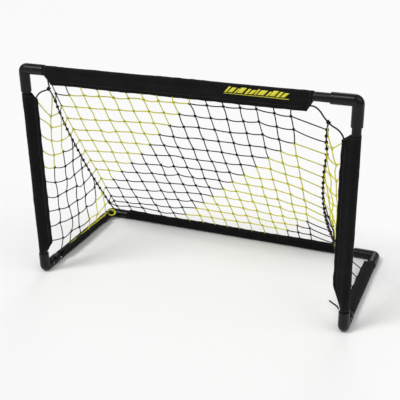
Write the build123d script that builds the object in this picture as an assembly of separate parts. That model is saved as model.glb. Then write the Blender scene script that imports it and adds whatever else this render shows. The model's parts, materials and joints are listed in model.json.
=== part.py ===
from build123d import *
from math import cos, radians, sin, tan
import os

# Folding lawn goal: a push-together tube frame with moulded corners, fabric sleeves and a knotted net.
# Millimetres. +X is to the right seen from the mouth, +Y is towards the back, +Z is up.
# The origin is on the ground, at the middle of the overall width and depth.

# Driving dimensions, between tube centre lines
WIDTH = 872.0
HEIGHT = 586.0
DEPTH = 405.0

# Tube and moulded corners
TUBE_R = 11.0
TUBE_WALL = 1.0
FITTING_R = 14.0
BEND_R = 9.0
LEG = 62.0
SOCKET_FLOOR = 20.0
SOCKET_GAP = 0.06
RIM_FILLET = 1.2
FOOT_FLAT = 0.8
TUBE_END_GAP = 0.3
TUBE_JOIN_GAP = 0.1
COUPLER_HALF = 45.0
COUPLER_WALL = 1.5

# Folding corners, measured back from the post's centre line
PIVOT_BACK = 30.0
POST_LEG = 46.0
POST_SOCKET_FLOOR = 12.0
SLOT_FRONT = 15.0
SLOT_HALF = 5.3
TONGUE_HALF = 5.0
STOP_GAP = 0.1
COLLAR_START = 45.5
SPIGOT_R = TUBE_R - TUBE_WALL - SOCKET_GAP
SPIGOT_END = 98.0
SPIGOT_BORE_START = LEG + 10.0
SPIGOT_WALL = 2.5
PIN_R = 3.0
PIN_FIT = 0.02
PIN_RUNNING_GAP = 0.07
PIN_HEAD_R = 5.2
PIN_HEAD_GAP = 0.3
PIN_HEAD_SEAT = 9.5
PIN_HEAD_TOP = 11.8
PIN_HEAD_FILLET = 1.4

# Snap buttons
BUTTON_AT = 38.0
BUTTON_R = 3.3
BUTTON_HOLE_R = 3.4
BUTTON_FOOT_R = 4.5
BUTTON_FOOT = (7.8, 8.7)
BUTTON_SHOULDER = 12.4
BUTTON_TOP = 13.6
THUMB_DISH_R = 6.5
THUMB_DISH_DEPTH = 2.0
SPRING_T = 0.5
SPRING_HALF_WIDTH = 2.5
SPRING_ARM = (-3.5, 15.0)
SPRING_TOP = BUTTON_FOOT[0] - 0.05
SPRING_FLOOR = -9.55

# Screws, measured from the corner's centre lines
SCREW_R = 1.5
SCREW_HEAD_R = 3.0
SCREW_HEAD_T = 2.0
SCREW_SEAT_GAP = 0.05
SCREW_UP = 35.0
SCREW_BACK = LEG + 6.0
SOCKET_SCREW_LENGTH = 6.0
KNUCKLE_SCREW_LENGTH = 5.0

# Fabric sleeves
SLEEVE_R = 12.3
SLEEVE_POCKET_R = 11.2
SEAM_REACH = 33.0
CROSSBAR_SEAM_REACH = 37.0
SIDE_SEAM_REACH = 26.0
SEAM_R = 1.3
FLAP_TAPER = (0.0, 14.0)
POST_FOOT_TAPERS = ((6.0, 30.0), (14.0, 50.0))
SIDE_FLAP_LIFT = 50.0

# Net and border rope
NET_T = 1.6
NET_GAP = 4.0
NET_REACH = SEAM_REACH + NET_GAP
BACK_NET_TOP_ENDS = (72.0, 106.0)
BACK_NET_FOOT_ENDS = (32.0, 150.0)
SIDE_NET_FRONT = 4.0
SIDE_NET_RIDGE_TOP = 22.0
SIDE_NET_FOOT_ENDS = (80.0, 76.0)
LEFT_RIDGE_FOOT = (32.0, 70.0, 60.0)
RIGHT_RIDGE_FOOT = (118.0, 56.0, 58.0)
CREASE_SHRINK = 0.97
ROPE_R = 2.2

# How far a cutting shape reaches past the face that it cuts
CUT = 1.0

# Levels and lines that the parts share
X_POST = WIDTH / 2
Y_FRONT = -DEPTH / 2
Y_REAR = DEPTH / 2
Z_BASE = FITTING_R - FOOT_FLAT
Z_TOP = Z_BASE + HEIGHT
NET_SLOPE = (HEIGHT**2 + DEPTH**2) ** 0.5
NET_DOWN = Vector(0, DEPTH / NET_SLOPE, -HEIGHT / NET_SLOPE)
RIGHT = Vector(1, 0, 0)
BACK = Vector(0, 1, 0)
UP = Vector(0, 0, 1)

# Distances from a corner's centre line to where each sleeve starts or ends
CROSSBAR_SLEEVE_ENDS = (64.0, 102.0)
POST_SLEEVE_TOPS = (66.0, 81.0)
POST_SLEEVE_FOOT = 48.0
SIDE_SLEEVE_ENDS = (74.0, 64.0)
REAR_SLEEVE_ENDS = (64.0, 80.0)


def rod(start, end, radius):
    """A round bar between two points."""
    run = Vector(*end) - Vector(*start)
    plane = Plane(origin=Vector(*start), z_dir=run)
    return extrude(plane * Circle(radius), run.length)


def pipe(start, end, outer, inner):
    """A round tube between two points."""
    return rod(start, end, outer) - rod(start, end, inner)


def above_ground(part):
    """The part with everything below the ground plane cut off, which leaves its foot flat."""
    ground = Pos(0, 0, -FITTING_R) * Box(3 * WIDTH, 3 * WIDTH, 2 * FITTING_R)
    return part - ground


def placed(part, corner, leg_a, leg_b):
    """A part built with its legs along +X and +Y, moved to a corner with its legs along two directions."""
    plane = Plane(origin=Vector(*corner), x_dir=leg_a, z_dir=leg_a.cross(leg_b))
    return plane.location * part


def soft_rims(part, spots):
    """The outer rims of a corner's legs, rounded over at the given leg ends."""
    rims = [
        edge
        for edge in part.edges().filter_by(GeomType.CIRCLE)
        if abs(edge.radius - FITTING_R) < 0.01
        and any((edge.arc_center - Vector(*spot)).length < 0.01 for spot in spots)
    ]
    return fillet(rims, RIM_FILLET)


def corner_bend():
    """The outside bend of a corner, between its two legs."""
    half = Circle(FITTING_R) & Pos((BEND_R - FITTING_R) / 2, 0) * Rectangle(BEND_R + FITTING_R, 4 * FITTING_R)
    side = Plane(origin=(BEND_R, 0, 0), x_dir=(0, 1, 0), z_dir=(1, 0, 0))
    return revolve(side * half, Axis((BEND_R, BEND_R, 0), (0, 0, -1)), 90)


def elbow():
    """A moulded elbow with two tube sockets and a snap button hole in a thumb dish on its first leg."""
    body = rod((BEND_R, 0, 0), (LEG, 0, 0), FITTING_R) + rod((0, BEND_R, 0), (0, LEG, 0), FITTING_R)
    body = soft_rims(body + corner_bend(), [(LEG, 0, 0), (0, LEG, 0)])
    socket_r = TUBE_R + SOCKET_GAP
    body -= rod((SOCKET_FLOOR, 0, 0), (LEG, 0, 0), socket_r)
    body -= rod((0, SOCKET_FLOOR, 0), (0, LEG, 0), socket_r)
    body -= rod((BUTTON_AT, 0, 0), (BUTTON_AT, -FITTING_R, 0), BUTTON_HOLE_R)
    standing = (Align.CENTER, Align.CENTER, Align.MIN)
    dish = Cone(BUTTON_HOLE_R, THUMB_DISH_R, THUMB_DISH_DEPTH, align=standing)
    return body - Plane(origin=(BUTTON_AT, -BUTTON_SHOULDER, 0), z_dir=(0, -1, 0)) * dish


def snap_button():
    """A domed push button with a foot that keeps it inside the tube, pointing out of an elbow's first leg."""
    rise = BUTTON_TOP - BUTTON_SHOULDER
    dome_r = (BUTTON_R**2 + rise**2) / (2 * rise)
    stem = rod((0, 0, BUTTON_FOOT[0]), (0, 0, BUTTON_TOP + CUT), BUTTON_R)
    stem &= Pos(0, 0, BUTTON_TOP - dome_r) * Sphere(dome_r)
    button = stem + rod((0, 0, BUTTON_FOOT[0]), (0, 0, BUTTON_FOOT[1]), BUTTON_FOOT_R)
    return Pos(BUTTON_AT, 0, 0) * Rot(90, 0, 0) * button


def button_spring():
    """A hairpin leaf spring inside the tube, from under the button's foot to the far wall."""
    bend_r = (SPRING_TOP - SPRING_FLOOR) / 2
    middle = (SPRING_TOP + SPRING_FLOOR) / 2

    def loop(radius, start):
        arms = Pos((start + SPRING_ARM[1]) / 2, middle) * Rectangle(SPRING_ARM[1] - start, 2 * radius)
        return arms + Pos(SPRING_ARM[1], middle) * Circle(radius)

    profile = loop(bend_r, SPRING_ARM[0]) - loop(bend_r - SPRING_T, SPRING_ARM[0] - CUT)
    strip = extrude(profile, SPRING_HALF_WIDTH, both=True)
    return Pos(BUTTON_AT, 0, 0) * Rot(180, 0, 0) * strip


def hinge_socket():
    """A front corner that takes the post in its first leg and forks round the hinge on its second."""
    pivot_clear = FITTING_R - FOOT_FLAT
    body = rod((BEND_R, 0, 0), (POST_LEG, 0, 0), FITTING_R) + corner_bend()
    body += rod((0, BEND_R, 0), (0, PIVOT_BACK, 0), FITTING_R)
    round_end = rod((0, PIVOT_BACK, 0), (0, PIVOT_BACK + FITTING_R, 0), FITTING_R)
    round_end &= rod((0, PIVOT_BACK, -FITTING_R), (0, PIVOT_BACK, FITTING_R), pivot_clear)
    body = soft_rims(body + round_end, [(POST_LEG, 0, 0)])
    body -= rod((POST_SOCKET_FLOOR, 0, 0), (POST_LEG, 0, 0), TUBE_R + SOCKET_GAP)
    slot_length = 2 * FITTING_R + PIVOT_BACK
    body -= Pos(0, SLOT_FRONT + slot_length / 2, 0) * Box(4 * FITTING_R, slot_length, 2 * SLOT_HALF)
    body -= rod((0, PIVOT_BACK, -FITTING_R), (0, PIVOT_BACK, FITTING_R), PIN_R + PIN_FIT)
    for side in (-1, 1):
        body -= rod(
            (0, PIVOT_BACK, side * PIN_HEAD_SEAT),
            (0, PIVOT_BACK, side * FITTING_R),
            PIN_HEAD_R + PIN_HEAD_GAP,
        )
    return body - rod((SCREW_UP, 0, 0), (SCREW_UP, FITTING_R, 0), SCREW_R + SOCKET_GAP)


def hinge_knuckle():
    """The fixed half of a front corner: a tongue with a stop toe, a collar, and the side tube's spigot."""
    eye_r = FITTING_R - FOOT_FLAT
    toe_front = SLOT_FRONT + STOP_GAP
    tongue = Pos(0, PIVOT_BACK) * Circle(eye_r)
    inside_collar = COLLAR_START + CUT
    tongue += Pos(0, (PIVOT_BACK + inside_collar) / 2) * Rectangle(2 * eye_r, inside_collar - PIVOT_BACK)
    tongue += Pos(-eye_r / 2, (toe_front + PIVOT_BACK) / 2) * Rectangle(eye_r, PIVOT_BACK - toe_front)
    body = extrude(tongue, TONGUE_HALF, both=True)
    body += rod((0, COLLAR_START, 0), (0, LEG, 0), FITTING_R)
    body = soft_rims(body, [(0, LEG, 0)])
    body += rod((0, LEG, 0), (0, SPIGOT_END, 0), SPIGOT_R)
    body -= rod((0, SPIGOT_BORE_START, 0), (0, SPIGOT_END, 0), SPIGOT_R - SPIGOT_WALL)
    body -= rod((0, SCREW_BACK, -SPIGOT_R), (0, SCREW_BACK, SPIGOT_R), SCREW_R + SOCKET_GAP)
    pin_bore_r = PIN_R + PIN_RUNNING_GAP
    return body - rod((0, PIVOT_BACK, -FITTING_R), (0, PIVOT_BACK, FITTING_R), pin_bore_r)


def hinge_pin():
    """A headed rivet through the fork and the tongue."""
    pin = rod((0, PIVOT_BACK, -PIN_HEAD_TOP), (0, PIVOT_BACK, PIN_HEAD_TOP), PIN_R)
    for side in (-1, 1):
        head = rod(
            (0, PIVOT_BACK, side * PIN_HEAD_SEAT),
            (0, PIVOT_BACK, side * PIN_HEAD_TOP),
            PIN_HEAD_R,
        )
        crown = [
            edge
            for edge in head.edges().filter_by(GeomType.CIRCLE)
            if abs(abs(edge.arc_center.Z) - PIN_HEAD_TOP) < 0.01
        ]
        pin += fillet(crown, PIN_HEAD_FILLET)
    return pin


def screw(point, inward, length):
    """A pan-head screw whose head rests on a round surface at a point, and points inward."""
    tip = Vector(*point) + inward * length
    outward = Vector(*point) - inward * SCREW_HEAD_T
    seat = Vector(*point) - inward * SCREW_SEAT_GAP
    return rod(seat, tip, SCREW_R) + rod(seat, outward, SCREW_HEAD_R)


def sleeve(start, end, flap, reach=SEAM_REACH, tapers=(FLAP_TAPER, FLAP_TAPER)):
    """A fabric sleeve round a tube, sewn into a flap that reaches towards one side and tapers at its ends."""
    start = Vector(*start)
    run = Vector(*end) - start
    plane = Plane(origin=start, x_dir=flap, z_dir=run)
    seam = reach - SEAM_R
    outline = make_hull([*Circle(SLEEVE_R).edges(), *(Pos(seam, 0) * Circle(SEAM_R)).edges()])
    body = extrude(plane * (outline - Circle(SLEEVE_POCKET_R)), run.length)
    along = run.normalized()
    for corner, inward, (bare, taper) in ((start, along, tapers[0]), (start + run, -along, tapers[1])):
        edge = Plane(origin=corner, x_dir=flap, z_dir=flap.cross(inward))
        off_cut = Polyline(
            (SLEEVE_R, -CUT),
            (SLEEVE_R, bare),
            (reach + CUT, bare + taper),
            (reach + CUT, -CUT),
            close=True,
        )
        body -= extrude(edge * make_face(off_cut.edges()), SLEEVE_R, both=True)
    return body


def panel(*points):
    """A flat sheet of net with corners at the given points, which lie in one plane."""
    spots = [Vector(*point) for point in points]
    face = make_face(Polyline(*spots, close=True).edges()).face()
    return extrude(face, NET_T / 2, dir=face.normal_at(), both=True)


def creased_panel(apex, *foot):
    """A net folded into flat triangles that fan out from an apex, each a little short of the creases."""
    apex = Vector(*apex)
    triangles = []
    for start, end in zip(foot, foot[1:]):
        corners = (apex, Vector(*start), Vector(*end))
        middle = (corners[0] + corners[1] + corners[2]) / 3
        triangles.append(panel(*[middle + (corner - middle) * CREASE_SHRINK for corner in corners]))
    return Compound(children=triangles)


def rope(points, radius):
    """A round cord along a route, as straight runs joined by the largest arcs that the runs allow."""
    spots = [Vector(*point) for point in points]
    radii = []
    for before, spot, after in zip(spots, spots[1:], spots[2:]):
        turn = (spot - before).get_angle(after - spot)
        shorter = min((spot - before).length, (after - spot).length)
        radii.append(0.45 * shorter / tan(radians(turn) / 2))
    path = FilletPolyline(*spots, radius=radii) if radii else Line(*spots)
    section = Plane(origin=path @ 0, z_dir=path % 0) * Circle(radius)
    cord = sweep(section, path=path)
    share = cord.volume / (section.area * path.length)
    print("rope", round(path.length), "mm, volume share", round(share, 4), "radii", [round(r) for r in radii])
    return cord


def on_net(from_left, down):
    """A point of the back net: its distance from the left post, and its share of the way down the slope."""
    return Vector(from_left - X_POST, Y_FRONT, Z_TOP) + NET_DOWN * (down * NET_SLOPE)


parts = {}
mirrored_corners = (("left", -1), ("right", 1))

# Top and rear corners. The right ones are the same moulding as the left ones, turned a quarter in their
# plane, so their buttons are in the post's leg and in the side tube's leg.
corners = {
    "left_top": ((-X_POST, Y_FRONT, Z_TOP), RIGHT, -UP),
    "right_top": ((X_POST, Y_FRONT, Z_TOP), -UP, -RIGHT),
    "left_rear": ((-X_POST, Y_REAR, Z_BASE), RIGHT, -BACK),
    "right_rear": ((X_POST, Y_REAR, Z_BASE), -BACK, -RIGHT),
}
for name, (corner, leg_a, leg_b) in corners.items():
    parts[f"{name}_elbow"] = above_ground(placed(elbow(), corner, leg_a, leg_b))
    parts[f"{name}_button"] = placed(snap_button(), corner, leg_a, leg_b)
    parts[f"{name}_button_spring"] = placed(button_spring(), corner, leg_a, leg_b)

# Folding front corners
screws = {"socket": [], "knuckle": []}
for side, sign in mirrored_corners:
    corner = (sign * X_POST, Y_FRONT, Z_BASE)
    parts[f"{side}_hinge_socket"] = above_ground(placed(hinge_socket(), corner, UP, BACK))
    parts[f"{side}_hinge_knuckle"] = above_ground(placed(hinge_knuckle(), corner, UP, BACK))
    parts[f"{side}_hinge_pin"] = placed(hinge_pin(), corner, UP, BACK)
    socket_screw = (sign * X_POST, Y_FRONT + FITTING_R, Z_BASE + SCREW_UP)
    screws["socket"].append((socket_screw, -BACK, SOCKET_SCREW_LENGTH))
    knuckle_screw = (sign * (X_POST - TUBE_R), Y_FRONT + SCREW_BACK, Z_BASE)
    screws["knuckle"].append((knuckle_screw, RIGHT * sign, KNUCKLE_SCREW_LENGTH))
for name, places in screws.items():
    parts[f"{name}_screws"] = Compound(children=[screw(*place) for place in places])

# Tubes, whose ends stop just short of the corners' socket floors
tube_in = SOCKET_FLOOR + TUBE_END_GAP
holes = []
for corner, leg_a, leg_b in corners.values():
    middle = Vector(*corner) + leg_a * BUTTON_AT
    holes.append(rod(middle, middle - leg_b * FITTING_R, BUTTON_HOLE_R))
for point, inward, length in screws["socket"] + screws["knuckle"]:
    holes.append(rod(point, Vector(*point) + inward * length, SCREW_R + SOCKET_GAP))
tubes = {}
for side, sign in mirrored_corners:
    x = sign * X_POST
    post_foot = Z_BASE + POST_SOCKET_FLOOR + TUBE_END_GAP
    tubes[f"{side}_post_tube"] = ((x, Y_FRONT, post_foot), (x, Y_FRONT, Z_TOP - tube_in))
    tubes[f"{side}_side_tube"] = ((x, Y_FRONT + LEG + TUBE_JOIN_GAP, Z_BASE), (x, Y_REAR - tube_in, Z_BASE))
    outer = x - sign * tube_in
    inner = sign * TUBE_JOIN_GAP / 2
    tubes[f"crossbar_{side}_tube"] = ((outer, Y_FRONT, Z_TOP), (inner, Y_FRONT, Z_TOP))
    tubes[f"rear_bar_{side}_tube"] = ((outer, Y_REAR, Z_BASE), (inner, Y_REAR, Z_BASE))
for name, (start, end) in tubes.items():
    parts[name] = pipe(start, end, TUBE_R, TUBE_R - TUBE_WALL) - holes

# Couplers inside the crossbar and the rear bar, where their halves meet
for name, y, z in (("crossbar", Y_FRONT, Z_TOP), ("rear_bar", Y_REAR, Z_BASE)):
    ends = ((-COUPLER_HALF, y, z), (COUPLER_HALF, y, z))
    parts[f"{name}_coupler"] = pipe(*ends, SPIGOT_R, SPIGOT_R - COUPLER_WALL)

# Fabric sleeves. The flaps of the crossbar and posts lie in the plane of the mouth, the rear bar's lies in
# the plane of the back net, and the net pulls the side tubes' flaps up as well as inward.
lift = radians(SIDE_FLAP_LIFT)
left, right = CROSSBAR_SLEEVE_ENDS
ends = ((left - X_POST, Y_FRONT, Z_TOP), (X_POST - right, Y_FRONT, Z_TOP))
parts["crossbar_sleeve"] = sleeve(*ends, -UP, CROSSBAR_SEAM_REACH)
left, right = REAR_SLEEVE_ENDS
ends = ((left - X_POST, Y_REAR, Z_BASE), (X_POST - right, Y_REAR, Z_BASE))
parts["rear_sleeve"] = sleeve(*ends, -NET_DOWN)
for (side, sign), post_top, foot_taper in zip(mirrored_corners, POST_SLEEVE_TOPS, POST_FOOT_TAPERS):
    x = sign * X_POST
    ends = ((x, Y_FRONT, Z_BASE + POST_SLEEVE_FOOT), (x, Y_FRONT, Z_TOP - post_top))
    parts[f"{side}_post_sleeve"] = sleeve(*ends, RIGHT * -sign, tapers=(foot_taper, FLAP_TAPER))
    front, rear = SIDE_SLEEVE_ENDS
    ends = ((x, Y_FRONT + front, Z_BASE), (x, Y_REAR - rear, Z_BASE))
    flap = RIGHT * (-sign * cos(lift)) + UP * sin(lift)
    parts[f"{side}_side_sleeve"] = sleeve(*ends, flap, SIDE_SEAM_REACH)

# Net panels: the sloping back, and the two sides between the posts, the side tubes and the ridge ropes.
# Each side is creased towards the foot of its ridge.
top = Z_TOP - CROSSBAR_SEAM_REACH - NET_GAP
foot = 1 - NET_REACH / NET_SLOPE
parts["net_back_panel"] = panel(
    (BACK_NET_TOP_ENDS[0] - X_POST, Y_FRONT, top),
    (X_POST - BACK_NET_TOP_ENDS[1], Y_FRONT, top),
    on_net(WIDTH - BACK_NET_FOOT_ENDS[1], foot),
    on_net(BACK_NET_FOOT_ENDS[0], foot),
)
side_reach = SIDE_SEAM_REACH + NET_GAP
for (side, sign), ridge_foot, post_top in zip(
    mirrored_corners, (LEFT_RIDGE_FOOT, RIGHT_RIDGE_FOOT), POST_SLEEVE_TOPS
):
    inward, back, up = ridge_foot
    post_x = sign * (X_POST - NET_REACH)
    side_x = sign * (X_POST - side_reach * cos(lift))
    side_z = Z_BASE + side_reach * sin(lift)
    edge = [
        (post_x, Y_FRONT + SIDE_NET_FRONT, Z_TOP - post_top),
        (post_x, Y_FRONT + SIDE_NET_FRONT, Z_BASE + POST_SLEEVE_FOOT),
        (side_x, Y_FRONT + SIDE_NET_FOOT_ENDS[0], side_z),
        (side_x, Y_REAR - SIDE_NET_FOOT_ENDS[1], side_z),
    ]
    if side == "left":
        edge.insert(0, (post_x, Y_FRONT + SIDE_NET_RIDGE_TOP, Z_TOP - post_top))
    ridge = (sign * (X_POST - inward), Y_REAR - back, Z_BASE + up)
    parts[f"net_{side}_panel"] = creased_panel(ridge, *edge)

# Border ropes: the bare corners of the front frame, and the two ridges between the back and side nets
left_sleeve_top = (34 - X_POST, Y_FRONT + 1, Z_TOP - POST_SLEEVE_TOPS[0] + 4)
right_sleeve_top = (X_POST - 32, Y_FRONT + 2, Z_TOP - POST_SLEEVE_TOPS[1] + 4)
routes = {
    "left_corner_rope": [on_net(60, 0.036), on_net(50, 0.074), on_net(44, 0.11), left_sleeve_top],
    "right_corner_rope": [on_net(WIDTH - 99, 0.04), on_net(WIDTH - 79, 0.134), right_sleeve_top],
    "left_ridge_rope": [
        on_net(42, 0.123),
        on_net(40, 0.176),
        on_net(31, 0.24),
        on_net(20, 0.37),
        on_net(14, 0.53),
        on_net(9, 0.7),
        on_net(13, 0.92),
    ],
    "right_ridge_rope": [
        on_net(WIDTH - 81, 0.149),
        on_net(WIDTH - 91, 0.238),
        on_net(WIDTH - 92, 0.307),
        on_net(WIDTH - 107, 0.4),
        on_net(WIDTH - 124, 0.564),
        on_net(WIDTH - 130, 0.7),
        on_net(WIDTH - 128, 0.82),
        on_net(WIDTH - 119, 0.93),
    ],
    "rope_end": [
        (X_POST - 15, Y_FRONT, Z_BASE + 49),
        (X_POST - 17, Y_FRONT - 1, Z_BASE + 57),
        (X_POST - 27, Y_FRONT - 2, Z_BASE + 62),
        (X_POST - 39, Y_FRONT - 1, Z_BASE + 69),
    ],
}
for name, route in routes.items():
    parts[name] = rope(route, ROPE_R)

for name, part in parts.items():
    part.label = name
os.makedirs("parts", exist_ok=True)
for name, part in parts.items():
    export_step(part, f"parts/{name}.step")
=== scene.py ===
import json
import math

import bpy
import numpy as np
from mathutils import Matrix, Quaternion, Vector, noise


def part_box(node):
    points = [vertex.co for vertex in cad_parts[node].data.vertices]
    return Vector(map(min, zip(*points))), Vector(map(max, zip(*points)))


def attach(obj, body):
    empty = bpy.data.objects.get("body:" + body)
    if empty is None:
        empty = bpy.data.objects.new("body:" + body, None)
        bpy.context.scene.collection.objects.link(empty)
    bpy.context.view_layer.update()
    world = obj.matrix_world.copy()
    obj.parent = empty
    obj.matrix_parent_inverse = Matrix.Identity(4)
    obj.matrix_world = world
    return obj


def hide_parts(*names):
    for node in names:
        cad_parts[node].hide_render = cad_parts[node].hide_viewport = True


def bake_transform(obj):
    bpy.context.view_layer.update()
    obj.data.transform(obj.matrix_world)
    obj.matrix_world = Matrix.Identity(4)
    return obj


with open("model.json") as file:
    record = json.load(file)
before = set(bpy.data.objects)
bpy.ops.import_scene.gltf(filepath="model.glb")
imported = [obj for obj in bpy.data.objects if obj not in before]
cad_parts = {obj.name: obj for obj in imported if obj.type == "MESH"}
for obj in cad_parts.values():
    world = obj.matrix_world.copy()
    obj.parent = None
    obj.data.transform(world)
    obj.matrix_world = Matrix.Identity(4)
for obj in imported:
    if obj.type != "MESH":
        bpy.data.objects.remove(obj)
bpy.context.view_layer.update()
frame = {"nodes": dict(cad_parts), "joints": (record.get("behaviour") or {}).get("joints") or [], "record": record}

MM = 0.001
RNG = np.random.default_rng(11)
noise.seed_set(11)


def centre(node):
    """The middle of a CAD node's box."""
    low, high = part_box(node)
    return (low + high) / 2


# Lines and levels of the frame
X_POST = centre("right_post_tube").x
Y_FRONT = centre("crossbar_left_tube").y
Z_TOP = centre("crossbar_left_tube").z
Y_REAR = centre("rear_bar_left_tube").y
Z_BASE = centre("rear_bar_left_tube").z
HEIGHT = Z_TOP - Z_BASE
DEPTH = Y_REAR - Y_FRONT
FITTING_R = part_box("right_top_elbow")[1].x - X_POST
SIDE_LIFT = math.radians(50)
ROPE_R = 2.2 * MM
SLOPE = math.hypot(HEIGHT, DEPTH)
NET_DOWN = Vector((0, DEPTH, -HEIGHT)) / SLOPE
NET_OUT = Vector((0, HEIGHT, DEPTH)) / SLOPE

# Sleeves: how far each flap reaches from the tube's middle; and, in millimetres, where a post's sleeve starts
# above the base, and how each post's flap is cut at its foot, as a bare length and then a taper
REACH = 33 * MM
CROSSBAR_REACH = 37 * MM
SIDE_REACH = 26 * MM
HEM = 2 * MM                               # how far inside a flap's edge the net's cords end
POST_SLEEVE_FOOT = 48
POST_FOOT_TAPERS = {"left": (6, 30), "right": (14, 50)}


def on_net(from_left, down):
    """A point of the back net: millimetres from the left post, and share of the way down the slope."""
    return Vector((from_left * MM - X_POST, Y_FRONT, Z_TOP)) + NET_DOWN * (down * SLOPE)


# ---------------------------------------------------------------- camera

def add_camera():
    """A camera that looks down at the goal from in front of its right-hand side."""
    yaw, pitch, roll = (math.radians(a) for a in (-23.5, 23.95, -1.23))
    data = bpy.data.cameras.new("camera")
    data.sensor_width = 36
    data.lens = 71.2
    data.shift_x = 0.02
    camera = bpy.data.objects.new("camera", data)
    camera.location = (0.763, -1.884, 1.112)
    ahead = Vector((math.sin(yaw) * math.cos(pitch), math.cos(yaw) * math.cos(pitch), -math.sin(pitch)))
    turn = ahead.to_track_quat("-Z", "Y") @ Quaternion((0, 0, 1), roll)
    camera.rotation_euler = turn.to_euler()
    bpy.context.scene.collection.objects.link(camera)
    bpy.context.scene.camera = camera


# ---------------------------------------------------------------- materials

class Shader:
    """A Principled material and short calls for adding nodes to it."""

    def __init__(self, name, colour, roughness, **constants):
        self.material = bpy.data.materials.new(name)
        self.material.use_nodes = True
        self.tree = self.material.node_tree
        self.principled = self.tree.nodes["Principled BSDF"]
        self.principled.inputs["Base Color"].default_value = (*colour, 1)
        self.principled.inputs["Roughness"].default_value = roughness
        for socket, value in constants.items():
            self.principled.inputs[socket.replace("_", " ")].default_value = value

    def add(self, kind, settings=None, **inputs):
        """A node of one kind; an input is a number or another node's output."""
        node = self.tree.nodes.new(f"ShaderNode{kind}")
        for key, value in (settings or {}).items():
            setattr(node, key, value)
        for key, value in inputs.items():
            socket = node.inputs[int(key[1:]) if key[0] == "_" else key.replace("_", " ")]
            if isinstance(value, bpy.types.NodeSocket):
                self.tree.links.new(value, socket)
            else:
                socket.default_value = value
        return node.outputs[0]

    def math(self, operation, a, b=0.0):
        return self.add("Math", {"operation": operation}, _0=a, _1=b)

    def place(self):
        return self.add("TexCoord", None).node.outputs["Object"]

    def noise(self, scale, detail=3.0, where=None, roughness=0.5):
        return self.add(
            "TexNoise", None, Vector=where or self.place(), Scale=scale, Detail=detail, Roughness=roughness
        )

    def ramp(self, factor, low, high, bottom=0.0, top=1.0):
        """The factor, stretched from low..high to bottom..top."""
        return self.add(
            "MapRange", None, Value=factor, From_Min=low, From_Max=high, To_Min=bottom, To_Max=top
        )

    def mix(self, factor, a, b):
        """A colour from a to b."""
        node = self.tree.nodes.new("ShaderNodeMix")
        node.data_type = "RGBA"
        for socket, value in zip((node.inputs[0], node.inputs[6], node.inputs[7]), (factor, a, b)):
            if isinstance(value, bpy.types.NodeSocket):
                self.tree.links.new(value, socket)
            else:
                socket.default_value = value if isinstance(value, float) else (*value, 1)
        return node.outputs[2]

    def into(self, socket, value):
        self.tree.links.new(value, self.principled.inputs[socket])

    def bump(self, height, distance, strength=1.0, under=None):
        """A bump, on top of another if given."""
        inputs = {"Height": height, "Distance": distance, "Strength": strength}
        if under is not None:
            inputs["Normal"] = under
        return self.add("Bump", None, **inputs)

    def uv(self):
        """The two parts of the UV map, which are in metres along and round a piece."""
        split = self.add("SeparateXYZ", None, Vector=self.add("UVMap", None)).node
        return split.outputs[0], split.outputs[1]

    def wave(self, value, pitch, phase=0.0):
        """A sine of a length, with the given pitch."""
        turned = self.math("MULTIPLY_ADD", value, 2 * math.pi / pitch)
        turned.node.inputs[2].default_value = phase
        return self.math("SINE", turned)


BLACK = (0.0035, 0.0035, 0.004)


def tube_paint():
    """Black powder coat: fine orange peel, faint scuffs where it has been pushed in and out of corners."""
    s = Shader("tube_powder_coat", BLACK, 0.42, Specular_IOR_Level=0.22)
    patches = s.noise(26, 4)
    scuffs = s.ramp(s.noise(180, 6, roughness=0.7), 0.62, 0.74)
    s.into("Base Color", s.mix(s.math("MULTIPLY", scuffs, 0.5), BLACK, (0.03, 0.03, 0.031)))
    s.into("Roughness", s.ramp(patches, 0.3, 0.7, 0.36, 0.5))
    s.into("Normal", s.bump(s.noise(1500, 2), 0.00012, 0.7))
    return s.material


def corner_plastic():
    """Black moulded plastic: soft gloss, fine mould grain, flow marks and rubbed patches."""
    s = Shader("corner_moulding", BLACK, 0.3, Specular_IOR_Level=0.24)
    rub = s.ramp(s.noise(70, 6, roughness=0.65), 0.55, 0.72)
    flow = s.noise(18, 3)
    s.into("Base Color", s.mix(s.math("MULTIPLY", rub, 0.6), BLACK, (0.022, 0.022, 0.023)))
    s.into("Roughness", s.math("ADD", s.ramp(flow, 0.3, 0.7, 0.24, 0.34), s.math("MULTIPLY", rub, 0.1)))
    grain = s.bump(s.noise(2600, 2), 0.00008, 0.6)
    s.into("Normal", s.bump(s.noise(45, 2), 0.0006, 0.25, grain))
    return s.material


def insert_plastic():
    s = Shader("coupler_moulding", (0.04, 0.04, 0.045), 0.5)
    s.into("Roughness", s.ramp(s.noise(120, 4), 0.3, 0.7, 0.42, 0.6))
    s.into("Normal", s.bump(s.noise(1200, 2), 0.0001, 0.6))
    return s.material


def steel(name, colour, roughness):
    """Plated or blackened steel with fine turning marks and rubbed spots."""
    s = Shader(name, colour, roughness, Metallic=1.0)
    rub = s.ramp(s.noise(400, 5, roughness=0.7), 0.5, 0.7)
    rubbed = tuple(min(1.0, c * 1.9) for c in colour)
    s.into("Base Color", s.mix(s.math("MULTIPLY", rub, 0.5), colour, rubbed))
    s.into("Roughness", s.ramp(s.noise(900, 3), 0.3, 0.7, roughness - 0.08, roughness + 0.1))
    return s.material


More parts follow.
